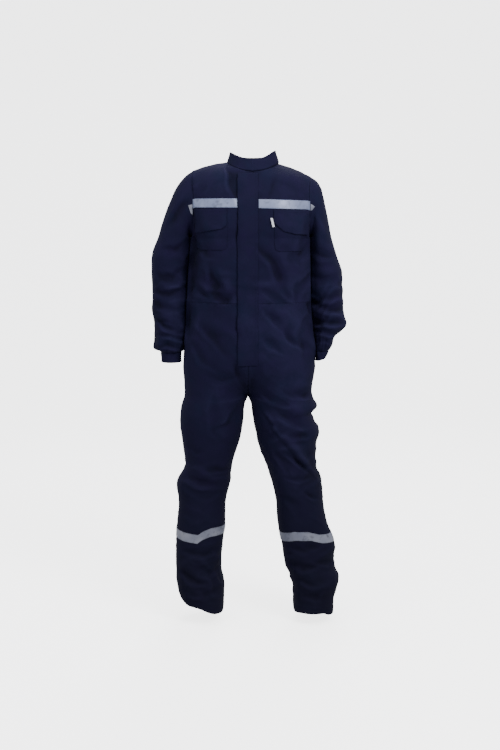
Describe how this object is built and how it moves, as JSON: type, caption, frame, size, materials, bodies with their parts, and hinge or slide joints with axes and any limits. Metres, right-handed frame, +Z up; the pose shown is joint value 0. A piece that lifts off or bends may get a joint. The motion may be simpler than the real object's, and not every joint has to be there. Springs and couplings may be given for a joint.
{
  "type": "boiler suit",
  "caption": "Navy long-sleeved boiler suit in worn, hollow form with a stand collar, covered front, chest pockets and reflective tape on chest and shins.",
  "frame": {"origin": "middle of the neck base, at the height where the wearer's shoulders carry the suit", "axes": "+Z up, the front faces -Y, +X towards the wearer's left side"},
  "size_m": [0.618, 0.2649, 1.473],
  "materials": {
    "navy_cloth": "matt navy twill",
    "reflective_tape": "satin grey reflective tape",
    "white_label": "blank white woven tab"
  },
  "bodies": {
    "root": {"bodice_front_right": "navy_cloth", "bodice_front_left": "navy_cloth", "bodice_back": "navy_cloth", "trouser_front_right": "navy_cloth", "trouser_front_left": "navy_cloth", "trouser_back_right": "navy_cloth", "trouser_back_left": "navy_cloth", "sleeve_right": "navy_cloth", "sleeve_left": "navy_cloth", "cuff_right": "navy_cloth", "cuff_left": "navy_cloth", "collar": "navy_cloth", "placket": "navy_cloth", "pocket_right": "navy_cloth", "pocket_left": "navy_cloth", "pocket_flap_right": "navy_cloth", "pocket_flap_left": "navy_cloth", "chest_tape_right": "reflective_tape", "chest_tape_left": "reflective_tape", "shin_tape_right": "reflective_tape", "shin_tape_left": "reflective_tape", "label": "white_label"}
  },
  "joints": []
}
